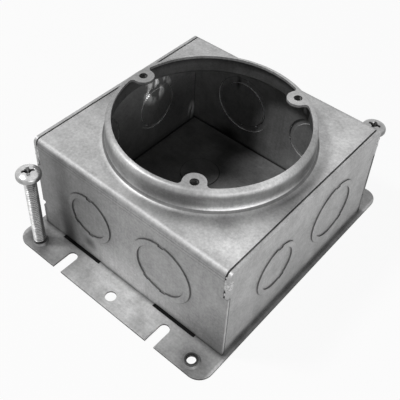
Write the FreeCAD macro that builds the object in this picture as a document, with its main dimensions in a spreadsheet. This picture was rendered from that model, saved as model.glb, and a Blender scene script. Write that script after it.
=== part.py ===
"""Square sheet-steel electrical box with a drawn round collar, on a flanged base plate.

The box is put together from sheet pieces. One sheet is folded into the top and
the front and back walls, and its top is drawn up into a round collar with three
tapped ears. Two flat plates close the left and right ends. A thin base plate
makes the floor and sticks out in front and behind as two mounting flanges, with
open slots, a plain hole, and raised tapped holes at the corners. Two long pan
head screws stand in two of those tapped holes, to level the box.

Frame: millimetres, +Z up. The origin is the middle of the base plate's
underside. The flanges lie in front (-Y) and behind (+Y), the end plates at
the left (-X) and right (+X).
"""
import FreeCAD
import Part
import Sketcher
import math
import os
import re

SIZES = {
    # the box
    "box_side": 119.0,           # outside, over the folded walls and over the end plates
    "box_height": 60.2,          # underside of the base plate to the flat of the top
    "box_shift": 0.5,            # the box stands this far right of the plate's middle
    "sheet_thick": 1.5,          # of the folded sheet and the end plates
    "bend_radius": 2.8,          # outside radius of the two folds
    "end_gap": 0.9,              # open gap between the folded sheet and an end plate
    "seam_gap": 0.2,             # the corner seams, where the sheets lie edge to face
    "foot_gap": 0.4,             # the folded walls end this far above the plate
    "joint_height": 43.4,        # up to here the folded walls cover the end plates' edges
    "joint_gap": 0.5,            # from there to the end plates' upper ears
    "low_ear_height": 14.1,      # two corners have a low ear on the end plate as well
    "low_gap": 3.5,
    # the collar
    "collar_height": 11.5,
    "collar_outside": 100.6,
    "collar_opening": 94.6,
    "shoulder_radius": 2.6,
    "foot_radius": 3.3,
    "ear_circle": 88.9,
    "ear_width": 11.0,
    "ear_fillet": 2.0,
    "ear_hole": 4.2,
    "ear_barrel": 6.6,
    "barrel_depth": 1.2,
    "ear_count": 3,
    # the knockouts
    "small_slug": 22.6,
    "small_ring": 28.8,
    "large_slug": 28.4,
    "large_ring": 35.5,
    "knockout_height": 30.4,
    "fold_small_place": -24.2,   # along the folded walls, from the middle of the box
    "fold_large_place": 22.2,
    "end_small_place": -23.0,    # along the end plates
    "end_large_place": 23.5,
    "ring_rise": 0.6,            # the ring round a slug is pressed out by this
    "slug_sink": 0.05,           # the slug ends just below the wall's face
    "bridge_width": 3.2,
    "bridge_reach": 1.0,
    "floor_slug": 22.3,
    "floor_slug_place": 23.1,
    "floor_slug_rise": 0.3,
    # the base plate
    "plate_thick": 0.9,
    "plate_margin": 3.1,         # past the end plates
    "flange_reach": 17.2,        # past the folded walls
    "plate_corner": 7.5,
    "slot_width": 5.5,
    "slot_reach": 12.9,          # from the flange's edge to the round end of the slot
    "slot_spread": 62.9,         # between the middles of a flange's two slots
    "relief_length": 26.0,       # the openings in the plate along the folded walls
    "relief_past_wall": 1.3,
    "relief_rise": 1.1,          # the walls are notched to this height above an opening
    "flange_hole": 5.7,
    "holes_past_wall": 10.8,     # from a folded wall to the row of holes in its flange
    "boss_inset": 11.1,          # from the plate's end to the tapped hole
    "boss_width": 7.0,
    "boss_rise": 1.5,
    "boss_foot": 0.9,
    "boss_lip": 0.5,
    # the screws
    "screw_width": 6.35,
    "screw_root": 5.0,
    "root_clearance": 0.1,
    "root_past_boss": 0.4,
    "screw_length": 47.6,
    "screw_point": 0.8,
    "tip_lift": 0.2,
    "head_width": 12.5,
    "head_rise": 4.0,
    "head_side": 3.0,            # the height of the head at its rim, before its bevel
    "head_bevel": 1.4,
    "recess_reach": 7.4,
    "recess_width": 1.9,
    "recess_depth": 2.4,
    "recess_taper": 12,          # degrees
}

# Directions of the bridges left across a knockout's two cuts, in degrees up from level.
FOLD_SMALL_TEETH = {"outer": [84], "inner": [-140, -86]}
FOLD_LARGE_TEETH = {"outer": [89], "inner": [-128, -84]}
END_SMALL_TEETH = {"outer": [88], "inner": [-63]}
END_LARGE_TEETH = {"outer": [91], "inner": [-51]}

# Distances that several pieces share, worked out from the sizes.
OUTER_FACE = "box_side / 2"
INNER_FACE = "(box_side / 2 - sheet_thick)"
TOP_UNDERSIDE = "(box_height - sheet_thick)"
RIM_TOP = "(box_height + collar_height)"
COLLAR_RADIUS = "(collar_outside / 2)"
FOOT_CIRCLE = "(collar_outside / 2 + foot_radius)"
PLATE_END = "(box_side / 2 + plate_margin)"
FLANGE_EDGE = "(box_side / 2 + flange_reach)"
HOLE_ROW = "(box_side / 2 + holes_past_wall)"
BOSS_PLACE = "(box_side / 2 + plate_margin - boss_inset)"
UNDER_HEAD = "(tip_lift + screw_length)"
SLOT_MIDDLES = ("-slot_spread / 2", "slot_spread / 2")
BEVEL = "(1 - tan(22.5 deg))"    # the leg of a bevel that touches a rounded corner, by its radius

BEYOND = "5"                     # how far a cutting outline runs past the edge it opens
WHOLE_TURN = 360
SKETCH_ORIGIN = -1
ACROSS_AXIS = -1
UPRIGHT_AXIS = -2
START, END, CENTRE = range(1, 4)
NORMAL = FreeCAD.Vector(0, 0, 1)
CLOSE = 0.001

doc = FreeCAD.newDocument("square_box")
table = doc.addObject("Spreadsheet::Sheet", "sizes")
for row, (size_name, size) in enumerate(SIZES.items(), start=1):
    table.set("A%d" % row, size_name)
    table.set("B%d" % row, str(size))
    table.setAlias("B%d" % row, size_name)
doc.recompute()


def tied(expression):
    """The expression with each size name tied to its cell of the sheet."""
    return re.sub(r"[a-z_]+", lambda word: ("sizes." if word[0] in SIZES else "") + word[0], expression)


def value(expression):
    """What the expression comes to."""
    result = table.evalExpression(tied(expression))
    return float(getattr(result, "Value", result))


def new_body(name):
    body = doc.addObject("PartDesign::Body", name)
    body.Label = name
    return body


def origin_item(body, role):
    return next(item for item in body.Origin.OriginFeatures if item.Role == role)


def new_sketch(body, name, role, offset=None):
    """An empty sketch on one of the body's own planes, moved out along its normal."""
    sketch = body.newObject("Sketcher::SketchObject", name)
    sketch.AttachmentSupport = [(origin_item(body, role), "")]
    sketch.MapMode = "FlatFace"
    if offset:
        sketch.setExpression("AttachmentOffset.Base.z", tied(offset))
    return sketch


def dimension(sketch, expression, *constraint):
    """Add a dimension to the sketch and tie it to the sizes."""
    made = sketch.addConstraint(Sketcher.Constraint(*constraint, value(expression)))
    sketch.setExpression("Constraints[%d]" % made, tied(expression))


def pin(sketch, item, end, across=None, up=None):
    """Tie one end, or the centre, of a drawn item to its place."""
    for kind, place, axis in (("DistanceX", across, UPRIGHT_AXIS), ("DistanceY", up, ACROSS_AXIS)):
        if place == "0":
            sketch.addConstraint(Sketcher.Constraint("PointOnObject", item, end, axis))
        elif place:
            dimension(sketch, place, kind, SKETCH_ORIGIN, START, item, end)


def circle(sketch, across, up, width):
    centre = FreeCAD.Vector(value(across), value(up), 0)
    item = sketch.addGeometry(Part.Circle(centre, NORMAL, value(width) / 2), False)
    pin(sketch, item, CENTRE, across, up)
    dimension(sketch, width, "Diameter", item)


def arc_about(centre, first, last):
    """The arc that turns left from first to last."""
    radius = centre.distanceToPoint(first)
    angles = [FreeCAD.Vector(1, 0, 0).getAngle(point - centre) for point in (first, last)]
    signed = [angle if point.y >= centre.y else -angle for angle, point in zip(angles, (first, last))]
    return Part.ArcOfCircle(Part.Circle(centre, NORMAL, radius), *signed)


def outline(sketch, corners):
    """Draw a closed outline. A corner is where it goes next, as (across, up) for a
    straight line, or (across, up, turn, across, up) for an arc, where the turn is
    "left" or "right" and the last two are the arc's centre.
    """
    points = [FreeCAD.Vector(value(corner[0]), value(corner[1]), 0) for corner in corners]
    joins = []
    for index, corner in enumerate(corners):
        first = points[index - 1]
        last = points[index]
        if len(corner) == 2:
            item = sketch.addGeometry(Part.LineSegment(first, last), False)
            joins.append((item, START, END))
            continue
        turn, across, up = corner[2:]
        centre = FreeCAD.Vector(value(across), value(up), 0)
        if turn == "left":
            item = sketch.addGeometry(arc_about(centre, first, last), False)
            joins.append((item, START, END))
        else:
            item = sketch.addGeometry(arc_about(centre, last, first), False)
            joins.append((item, END, START))
        chord = last - first
        if abs(chord.x) > abs(chord.y):
            pin(sketch, item, CENTRE, up=up)
        else:
            pin(sketch, item, CENTRE, across=across)
    for index, (item, start, end) in enumerate(joins):
        before, _, end_before = joins[index - 1]
        sketch.addConstraint(Sketcher.Constraint("Coincident", before, end_before, item, start))
        pin(sketch, item, end, corners[index][0], corners[index][1])


def rectangle(sketch, left, right, bottom, top):
    outline(sketch, [(left, bottom), (right, bottom), (right, top), (left, top)])


def relief_ends(middle):
    """Where an opening along a wall's foot starts and stops."""
    return ["%s %s relief_length / 2" % (middle, sign) for sign in "-+"]


def spoke(across, up, radius, angle):
    """The place at the end of a spoke from a centre."""
    return "%s + %s * cos(%s)" % (across, radius, angle), "%s + %s * sin(%s)" % (up, radius, angle)


def toothed_circle(sketch, across, up, width, directions, reach):
    """A circle with a short square tooth in each direction, outward or inward."""
    half_tooth = "asin(bridge_width / %s)" % width
    near = "%s / 2" % width
    far = "(%s / 2 %s)" % (width, reach)
    corners = []
    for direction in sorted(directions):
        before = "(%d deg - %s)" % (direction, half_tooth)
        after = "(%d deg + %s)" % (direction, half_tooth)
        corners.append(spoke(across, up, near, before) + ("left", across, up))
        corners.append(spoke(across, up, far, before))
        corners.append(spoke(across, up, far, after))
        corners.append(spoke(across, up, near, after))
    outline(sketch, corners)


def volume(body):
    return body.Shape.Volume if body.Tip else 0.0


def push(body, kind, sketch, length=None, both_ways=False, turned=False, taper=None):
    """Pad or pocket a sketch, by a length or right through, and see that it did something."""
    before = volume(body)
    feature = body.newObject("PartDesign::" + kind, kind.lower())
    feature.Profile = sketch
    feature.SideType = "Symmetric" if both_ways else "One side"
    feature.Reversed = turned
    if length:
        feature.Type = "Length"
        feature.setExpression("Length", tied(length))
    else:
        feature.Type = "ThroughAll"
    if taper:
        feature.setExpression("TaperAngle", tied(taper))
    doc.recompute()
    grown = volume(body) - before
    if (grown > 0) != (kind == "Pad"):
        raise RuntimeError("%s of %s has no effect" % (kind, sketch.Label))
    return feature


def revolve(body, sketch):
    """Turn a sketch, drawn on an upright plane, about the body's Z axis."""
    feature = body.newObject("PartDesign::Revolution", "revolution")
    feature.Profile = sketch
    feature.ReferenceAxis = (sketch, ["V_Axis"])
    feature.Angle = WHOLE_TURN
    doc.recompute()
    return feature


def copies_round(body, features, count):
    """Repeat features evenly about the body's Z axis."""
    pattern = body.newObject("PartDesign::PolarPattern", "copies_round")
    pattern.Originals = features
    pattern.Axis = (origin_item(body, "Z_Axis"), [""])
    pattern.Angle = WHOLE_TURN
    pattern.setExpression("Occurrences", tied(count))
    body.Tip = pattern
    doc.recompute()
    return pattern


def soften_edges(body, kind, size, chosen):
    """Fillet or chamfer the edges of the body that the chosen test picks."""
    base = body.Tip
    names = ["Edge%d" % number for number, edge in enumerate(base.Shape.Edges, start=1) if chosen(edge)]
    feature = body.newObject("PartDesign::" + kind, kind.lower())
    feature.Base = (base, names)
    feature.setExpression("Radius" if kind == "Fillet" else "Size", tied(size))
    doc.recompute()
    return feature


def is_upright(edge):
    straight = not edge.Degenerated and isinstance(edge.Curve, Part.Line)
    return straight and abs(edge.Curve.Direction.z) > 1 - CLOSE


def is_circle(edge, radius, height):
    """Whether the edge is a level circle of this radius at this height."""
    if edge.Degenerated or not isinstance(edge.Curve, Part.Circle):
        return False
    level = abs(edge.Curve.Axis.z) > 1 - CLOSE
    return level and abs(edge.Curve.Radius - radius) < CLOSE and abs(edge.Curve.Center.z - height) < CLOSE


def press_knockout(body, role, place, slug, ring, bridges):
    """Press a concentric knockout into the wall whose outer face looks along the plane.

    The wall is cut out to the outer cut, and put back as a ring pressed out and a
    slug pressed in a little. Both still hold on through their thickness, as a half
    sheared knockout does. A bridge is a tooth of the wall, or of the slug,
    that reaches over the ring.
    """
    outer = (place, "knockout_height", ring, bridges["outer"], "- bridge_reach")
    inner = (place, "knockout_height", slug, bridges["inner"], "+ bridge_reach")
    cut = new_sketch(body, "outer_cut", role, OUTER_FACE)
    toothed_circle(cut, *outer)
    opening = push(body, "Pocket", cut, "sheet_thick")
    pressed = new_sketch(body, "pressed_ring", role, "%s + ring_rise" % OUTER_FACE)
    toothed_circle(pressed, *outer)
    toothed_circle(pressed, *inner)
    ring_pad = push(body, "Pad", pressed, "sheet_thick", turned=True)
    sunk = new_sketch(body, "slug", role, "%s - slug_sink" % OUTER_FACE)
    toothed_circle(sunk, *inner)
    slug_pad = push(body, "Pad", sunk, "sheet_thick", turned=True)
    return [opening, ring_pad, slug_pad]


def folded_shell():
    """The top and the front and back walls, folded from one sheet, with the drawn collar."""
    body = new_body("folded_shell")

    section = new_sketch(body, "folded_section", "YZ_Plane")
    foot_level = "plate_thick + foot_gap"
    bend_level = "box_height - bend_radius"
    bend_place = "%s - bend_radius" % OUTER_FACE
    outline(section, [
        ("-(%s)" % OUTER_FACE, foot_level),
        ("-(%s)" % OUTER_FACE, bend_level),
        ("-(%s)" % bend_place, "box_height", "right", "-(%s)" % bend_place, bend_level),
        (bend_place, "box_height"),
        (OUTER_FACE, bend_level, "right", bend_place, bend_level),
        (OUTER_FACE, foot_level),
        (INNER_FACE, foot_level),
        (INNER_FACE, bend_level),
        (bend_place, TOP_UNDERSIDE, "left", bend_place, bend_level),
        ("-(%s)" % bend_place, TOP_UNDERSIDE),
        ("-" + INNER_FACE, bend_level, "left", "-(%s)" % bend_place, bend_level),
        ("-" + INNER_FACE, foot_level),
    ])
    push(body, "Pad", section, "box_side", both_ways=True)

    ends = new_sketch(body, "clear_of_end_plates", "XZ_Plane")
    short_end = "(%s - end_gap)" % INNER_FACE
    past_end = "(%s + %s)" % (OUTER_FACE, BEYOND)
    above = "box_height + %s" % BEYOND
    rectangle(ends, short_end, past_end, "joint_height", above)
    rectangle(ends, "-" + past_end, "-" + short_end, "joint_height", above)
    push(body, "Pocket", ends, both_ways=True)

    notches = new_sketch(body, "foot_notches", "XZ_Plane")
    rectangle(notches, "-" + past_end, "-(%s - seam_gap)" % INNER_FACE, "0", "low_ear_height + low_gap")
    for middle in SLOT_MIDDLES:
        rectangle(notches, *relief_ends(middle), "0", "plate_thick + relief_rise")
    notch_cut = push(body, "Pocket", notches, turned=True)
    copies_round(body, [notch_cut], "2")

    mouth = new_sketch(body, "collar_mouth", "XY_Plane", "box_height")
    circle(mouth, "0", "0", "2 * " + FOOT_CIRCLE)
    push(body, "Pocket", mouth, "sheet_thick")
    collar = new_sketch(body, "collar_section", "XZ_Plane")
    curve_level = "box_height + foot_radius"
    shoulder_level = "%s - shoulder_radius" % RIM_TOP
    land_edge = "%s - shoulder_radius" % COLLAR_RADIUS
    inside = "%s - sheet_thick" % COLLAR_RADIUS
    rim_underside = "%s - sheet_thick" % RIM_TOP
    # The inner curves are bevels that lie against them, so the sheet is nowhere too thin.
    shoulder_bevel = "(shoulder_radius - sheet_thick) * " + BEVEL
    foot_bevel = "(foot_radius + sheet_thick) * " + BEVEL
    outline(collar, [
        (FOOT_CIRCLE, "box_height"),
        (COLLAR_RADIUS, curve_level, "right", FOOT_CIRCLE, curve_level),
        (COLLAR_RADIUS, shoulder_level),
        (land_edge, RIM_TOP, "left", land_edge, shoulder_level),
        ("collar_opening / 2", RIM_TOP),
        ("collar_opening / 2", rim_underside),
        ("%s - %s" % (inside, shoulder_bevel), rim_underside),
        (inside, "%s - %s" % (rim_underside, shoulder_bevel)),
        (inside, "%s + %s" % (TOP_UNDERSIDE, foot_bevel)),
        ("%s + %s" % (inside, foot_bevel), TOP_UNDERSIDE),
        (FOOT_CIRCLE, TOP_UNDERSIDE),
    ])
    revolve(body, collar)

    ear = new_sketch(body, "ear", "XY_Plane", RIM_TOP)
    hole_place = "-ear_circle / 2"
    root = "-(collar_opening / 2 + %s) / 2" % land_edge
    outline(ear, [
        (root, "ear_width / 2"),
        (root, "-ear_width / 2"),
        (hole_place, "-ear_width / 2"),
        (hole_place, "ear_width / 2", "left", hole_place, "0"),
    ])
    ear_pad = push(body, "Pad", ear, "sheet_thick", turned=True)
    barrel = new_sketch(body, "ear_barrel", "XY_Plane", rim_underside)
    circle(barrel, hole_place, "0", "ear_barrel")
    barrel_pad = push(body, "Pad", barrel, "barrel_depth", turned=True)
    bore = new_sketch(body, "ear_hole", "XY_Plane", RIM_TOP)
    circle(bore, hole_place, "0", "ear_hole")
    bore_cut = push(body, "Pocket", bore, "sheet_thick + barrel_depth")
    copies_round(body, [ear_pad, barrel_pad, bore_cut], "ear_count")
    opening_radius = value("collar_opening / 2")

    def is_ear_corner(edge):
        middle = edge.CenterOfMass
        return is_upright(edge) and abs(math.hypot(middle.x, middle.y) - opening_radius) < CLOSE

    soften_edges(body, "Fillet", "ear_fillet", is_ear_corner)

    small = press_knockout(body, "XZ_Plane", "fold_small_place", "small_slug", "small_ring", FOLD_SMALL_TEETH)
    large = press_knockout(body, "XZ_Plane", "fold_large_place", "large_slug", "large_ring", FOLD_LARGE_TEETH)
    copies_round(body, small + large, "2")
    body.setExpression("Placement.Base.x", tied("box_shift"))
    return body


def end_wall(name, half_turns):
    """One flat end plate. The left one is the right one, turned half round."""
    body = new_body(name)
    face = new_sketch(body, "end_outline", "YZ_Plane", OUTER_FACE)
    seam = "(%s - seam_gap)" % INNER_FACE
    ear_foot = "joint_height + joint_gap"
    bend_level = "box_height - bend_radius"
    bend_place = "(%s - bend_radius)" % OUTER_FACE
    outline(face, [
        ("-" + seam, "plate_thick"),
        (OUTER_FACE, "plate_thick"),
        (OUTER_FACE, "low_ear_height"),
        (seam, "low_ear_height"),
        (seam, ear_foot),
        (OUTER_FACE, ear_foot),
        (OUTER_FACE, bend_level),
        (bend_place, "box_height", "left", bend_place, bend_level),
        ("-" + bend_place, "box_height"),
        ("-(%s)" % OUTER_FACE, bend_level, "left", "-" + bend_place, bend_level),
        ("-(%s)" % OUTER_FACE, ear_foot),
        ("-" + seam, ear_foot),
    ])
    push(body, "Pad", face, "sheet_thick", turned=True)
    press_knockout(body, "YZ_Plane", "end_small_place", "small_slug", "small_ring", END_SMALL_TEETH)
    press_knockout(body, "YZ_Plane", "end_large_place", "large_slug", "large_ring", END_LARGE_TEETH)
    body.Placement = FreeCAD.Placement(FreeCAD.Vector(), NORMAL, half_turns * WHOLE_TURN / 2)
    body.setExpression("Placement.Base.x", tied("box_shift"))
    return body


def base_plate():
    """The floor of the box and its two flanges, from one thin sheet."""
    body = new_body("base_plate")
    blank = new_sketch(body, "blank", "XY_Plane")
    rectangle(blank, "-" + PLATE_END, PLATE_END, "-" + FLANGE_EDGE, FLANGE_EDGE)
    push(body, "Pad", blank, "plate_thick")
    soften_edges(body, "Fillet", "plate_corner", is_upright)

    cuts = new_sketch(body, "slots_and_holes", "XY_Plane", "plate_thick")
    mouth = "-(%s + %s)" % (FLANGE_EDGE, BEYOND)
    slot_end = "-(%s - slot_reach + slot_width / 2)" % FLANGE_EDGE
    near_wall = "-" + INNER_FACE
    past_wall = "-(%s + relief_past_wall)" % OUTER_FACE
    for middle in SLOT_MIDDLES:
        left = "%s - slot_width / 2" % middle
        right = "%s + slot_width / 2" % middle
        round_end = (left, slot_end, "left", middle, slot_end)
        outline(cuts, [(left, mouth), (right, mouth), (right, slot_end), round_end])
        rectangle(cuts, *relief_ends(middle), past_wall, near_wall)
    circle(cuts, "0", "-" + HOLE_ROW, "flange_hole")
    flange_cuts = push(body, "Pocket", cuts)

    bosses = new_sketch(body, "bosses", "XY_Plane", "plate_thick")
    bores = new_sketch(body, "tapped_bores", "XY_Plane", "plate_thick + boss_rise")
    for side in ("-", ""):
        circle(bosses, side + BOSS_PLACE, "-" + HOLE_ROW, "boss_width")
        circle(bores, side + BOSS_PLACE, "-" + HOLE_ROW, "screw_root + root_clearance")
    boss_pad = push(body, "Pad", bosses, "boss_rise")
    bore_cut = push(body, "Pocket", bores)
    copies_round(body, [flange_cuts, boss_pad, bore_cut], "2")
    boss_radius = value("boss_width / 2")
    bore_radius = value("(screw_root + root_clearance) / 2")
    plate_top = value("plate_thick")
    soften_edges(body, "Chamfer", "boss_foot", lambda edge: is_circle(edge, boss_radius, plate_top))
    soften_edges(body, "Chamfer", "boss_lip", lambda edge: is_circle(edge, bore_radius, 0))

    below = new_sketch(body, "floor_slug_below", "XY_Plane")
    above = new_sketch(body, "floor_slug_above", "XY_Plane", "plate_thick")
    for slug in (below, above):
        circle(slug, "-floor_slug_place", "floor_slug_place", "floor_slug")
    push(body, "Pocket", below, "floor_slug_rise", turned=True)
    push(body, "Pad", above, "floor_slug_rise")
    return body


def levelling_screw(name, side):
    """A pan head screw, upright, with its tip just clear of what the plate lies on.

    Where it runs in the tapped boss it has the size of its thread's root.
    """
    body = new_body(name)
    profile = new_sketch(body, "screw_profile", "XZ_Plane")
    engaged = "plate_thick + boss_rise + root_past_boss"
    rim_level = "%s + head_side" % UNDER_HEAD
    crown_level = "%s + head_rise" % UNDER_HEAD
    sag = "(head_rise - head_side)"
    crown_centre = "%s - ((head_width / 2) ^ 2 + %s ^ 2) / (2 * %s)" % (crown_level, sag, sag)
    outline(profile, [
        ("0", "tip_lift"),
        ("screw_root / 2 - screw_point", "tip_lift"),
        ("screw_root / 2", "tip_lift + screw_point"),
        ("screw_root / 2", engaged),
        ("screw_width / 2", engaged),
        ("screw_width / 2", UNDER_HEAD),
        ("head_width / 2", UNDER_HEAD),
        ("head_width / 2", rim_level),
        ("0", crown_level, "left", "0", crown_centre),
    ])
    revolve(body, profile)
    head_radius = value("head_width / 2")
    rim_height = value(rim_level)
    soften_edges(body, "Chamfer", "head_bevel", lambda edge: is_circle(edge, head_radius, rim_height))

    recess = new_sketch(body, "cross_recess", "XY_Plane", crown_level)
    reach = "recess_reach / 2"
    half = "recess_width / 2"
    quarter = [(reach, "-" + half), (reach, half), (half, half)]
    corners = []
    for _ in range(4):
        corners.extend(quarter)
        quarter = [("-(%s)" % up, across) for across, up in quarter]
    outline(recess, corners)
    push(body, "Pocket", recess, "recess_depth", taper="-recess_taper")

    body.setExpression("Placement.Base.x", tied("%d * %s" % (side, BOSS_PLACE)))
    body.setExpression("Placement.Base.y", tied("%d * %s" % (side, HOLE_ROW)))
    return body


def levelling_screws():
    """The two screws, alike, in opposite corners of the plate."""
    pair = doc.addObject("Part::Compound", "levelling_screws")
    pair.Links = [levelling_screw("front_screw", -1), levelling_screw("back_screw", 1)]
    return pair


pieces = [
    folded_shell(),
    end_wall("left_end_wall", 1),
    end_wall("right_end_wall", 0),
    base_plate(),
    levelling_screws(),
]
doc.recompute()

for item in doc.Objects:
    if "Invalid" in item.State or "Error" in item.State:
        raise RuntimeError("%s failed: %s" % (item.Label, item.State))
for piece in pieces:
    if piece.Shape.isNull() or not piece.Shape.isValid():
        raise RuntimeError("%s has no valid shape" % piece.Label)

os.makedirs("parts", exist_ok=True)
for piece in pieces:
    piece.Shape.exportStep("parts/%s.step" % piece.Label)
    box = piece.Shape.BoundBox
    print(piece.Label, len(piece.Shape.Solids), "solids", round(piece.Shape.Volume, 1), "mm3", box)
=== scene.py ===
# %% [markdown]
# A square steel electrical box with a round collar
#
# The real box is dull galvanised sheet. One sheet is folded into the top and two walls and drawn up
# into a collar, two flat plates close the ends, and a thin plate makes the floor and the mounting
# flanges. Two bright zinc screws stand in opposite corners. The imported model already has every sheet
# at its true size, so it is the frame for all that follows, and nothing in it moves.

import math
from functools import reduce

import bpy
from mathutils import Matrix, Vector


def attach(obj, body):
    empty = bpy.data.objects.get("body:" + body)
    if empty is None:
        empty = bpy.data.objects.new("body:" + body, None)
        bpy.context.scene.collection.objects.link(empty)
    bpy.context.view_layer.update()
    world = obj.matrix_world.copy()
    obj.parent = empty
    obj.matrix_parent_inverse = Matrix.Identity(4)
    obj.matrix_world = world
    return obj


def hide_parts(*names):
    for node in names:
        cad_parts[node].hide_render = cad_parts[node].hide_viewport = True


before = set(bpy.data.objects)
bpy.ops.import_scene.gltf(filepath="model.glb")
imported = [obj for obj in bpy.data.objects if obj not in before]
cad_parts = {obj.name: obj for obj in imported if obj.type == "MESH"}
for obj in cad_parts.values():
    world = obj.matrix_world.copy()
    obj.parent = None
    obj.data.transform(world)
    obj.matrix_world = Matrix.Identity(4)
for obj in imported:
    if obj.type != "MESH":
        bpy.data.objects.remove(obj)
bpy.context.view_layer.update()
MM = 0.001
print("nodes", sorted(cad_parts))

# %% [markdown]
# Where things are
#
# The whole scene uses the model's own frame: the middle of the base plate's underside is the origin
# and the floor is at height 0. A few heights and places come back often, so they are named here once,
# in millimetres. The box stands half a millimetre to the right of the plate's middle.

# %% Places and heights
BOX_MIDDLE = 0.5
BOX_HALF = 59.5
BOX_TOP = 60.2
RIM_TOP = 71.7
SHEET = 1.5
JOINT_HEIGHT = 43.4
COLLAR_OUTSIDE = 50.3
EAR_CIRCLE = 44.45
EARS = {"left": 180, "right": 60, "front": -60}
BOSS_ACROSS, BOSS_ALONG = 51.5, 70.3
SCREW_PLACES = [(-BOSS_ACROSS, -BOSS_ALONG), (BOSS_ACROSS, BOSS_ALONG)]
SCREW_TIP = 0.2
UNDER_HEAD = 47.8

WALL_INSIDE = BOX_HALF - SHEET
UNDER_TOP = BOX_TOP - SHEET
UNDER_RIM = RIM_TOP - SHEET
COLLAR_INSIDE = COLLAR_OUTSIDE - SHEET
print("the collar rises", round(RIM_TOP - BOX_TOP, 1), "mm above the top")

# %% [markdown]
# The camera
#
# A camera is an aim point, a direction back from it, a distance and a lens. These numbers put the
# corners, circles and slots of the model where the photograph has them. The picture is slightly
# turned, which is the roll, and the lens is shifted a little because the photograph was cropped.

# %% Set up the camera
CAMERA_AIM = (-16.56, 7.91, 30.1)
CAMERA_AZIMUTH, CAMERA_ELEVATION, CAMERA_ROLL = 39.082, 43.567, 2.584
CAMERA_DISTANCE = 369.76
FOCAL_PIXELS = 702.1
PICTURE = 400
SENSOR = 36
AXIS_ACROSS, AXIS_DOWN = 192.75, 154.07


def direction_to(azimuth, elevation):
    """The direction to something seen at these angles: azimuth 0 is in front, 90 at the right."""
    turned, raised = math.radians(azimuth), math.radians(elevation)
    level = math.cos(raised)
    return Vector((math.sin(turned) * level, -math.cos(turned) * level, math.sin(raised)))


back = direction_to(CAMERA_AZIMUTH, CAMERA_ELEVATION)
right = direction_to(CAMERA_AZIMUTH + 90, 0)
up = back.cross(right)
roll = math.radians(CAMERA_ROLL)
rolled_right = right * math.cos(roll) + up * math.sin(roll)
rolled_up = up * math.cos(roll) - right * math.sin(roll)

bpy.ops.object.select_all(action="DESELECT")
bpy.ops.object.camera_add()
camera = bpy.context.object
turn = Matrix((rolled_right, rolled_up, back)).transposed().to_4x4()
camera.matrix_world = Matrix.Translation((Vector(CAMERA_AIM) + back * CAMERA_DISTANCE) * MM) @ turn
camera.data.sensor_width = SENSOR
camera.data.lens = SENSOR * FOCAL_PIXELS / PICTURE
camera.data.shift_x = (PICTURE / 2 - AXIS_ACROSS) / PICTURE
camera.data.shift_y = (AXIS_DOWN - PICTURE / 2) / PICTURE
camera.data.clip_start, camera.data.clip_end = 0.01, 20
bpy.context.scene.camera = camera
bpy.context.scene.view_settings.view_transform = "Standard"
print("lens", round(camera.data.lens, 2), "mm")
print("shift", round(camera.data.shift_x, 4), round(camera.data.shift_y, 4))

# %% [markdown]
# Sums written as sums
#
# A procedural finish is mostly arithmetic on the position: how far from this edge, how near that ring.
# In the node editor each sum is a node of its own. The small class below holds one output of a node, so
# that a Python expression on such values adds the Math nodes by itself, and one method adds any other
# kind of node.


# %% The class for values in a material
class Value:
    """One output of a node. Sums and comparisons with it add Math nodes."""

    def __init__(self, socket):
        self.socket = socket

    @classmethod
    def source(cls, tree, kind, output):
        """An output of a new node that needs nothing put in."""
        return cls(tree.nodes.new("ShaderNode" + kind).outputs[output])

    def node(self, kind, settings, sockets, output=0):
        """Add a node of any kind: its settings first, then a value or a link for each socket."""
        tree = self.socket.id_data
        made = tree.nodes.new("ShaderNode" + kind)
        for name, setting in settings.items():
            setattr(made, name, setting)
        for name, given in sockets.items():
            if isinstance(given, Value):
                tree.links.new(given.socket, made.inputs[name])
            else:
                made.inputs[name].default_value = given
        return Value(made.outputs[output])

    def maths(self, operation, first, second=0.0):
        return self.node("Math", {"operation": operation}, {0: first, 1: second})

    def __add__(self, other):
        return self.maths("ADD", self, other)

    def __radd__(self, other):
        return self.maths("ADD", other, self)

    def __sub__(self, other):
        return self.maths("SUBTRACT", self, other)

    def __rsub__(self, other):
        return self.maths("SUBTRACT", other, self)

    def __mul__(self, other):
        return self.maths("MULTIPLY", self, other)

    def __rmul__(self, other):
        return self.maths("MULTIPLY", other, self)

    def __truediv__(self, other):
        return self.maths("DIVIDE", self, other)

    def __rtruediv__(self, other):
        return self.maths("DIVIDE", other, self)

    def __abs__(self):
        return self.maths("ABSOLUTE", self)

    def least(self, other):
        return self.maths("MINIMUM", self, other)

    def most(self, other):
        return self.maths("MAXIMUM", self, other)

    def distance(self, other):
        """How far off a point is that lies this much and the other much away, square to each other."""
        return self.maths("SQRT", self * self + other * other)

    def ramp(self, start, end, low=0.0, high=1.0):
        """low up to start, high from end on, and a smooth change between them."""
        return self.node("MapRange", {"interpolation_type": "SMOOTHSTEP"},
                         {0: self, 1: start, 2: end, 3: low, 4: high})

    def fade(self, start, end, high=1.0):
        """high up to start, 0 from end on, and a smooth change between them."""
        return self.ramp(start, end, high, 0.0)

    def parts(self):
        """The x, y and z of a vector."""
        return [Value(part) for part in self.node("SeparateXYZ", {}, {0: self}).socket.node.outputs]


def highest(values):
    """The highest of several values, at each point."""
    return reduce(Value.most, values)


print("ready to write sums on sockets")

# %% [markdown]
# A new finish
#
# Every finish here starts in the same way: a Principled surface and the position on the object. The
# position is turned into millimetres from the middle of the box, so that a mark can be put where a
# ruler on the real box would find it. Object coordinates stay with the piece, whatever the camera does.


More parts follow.
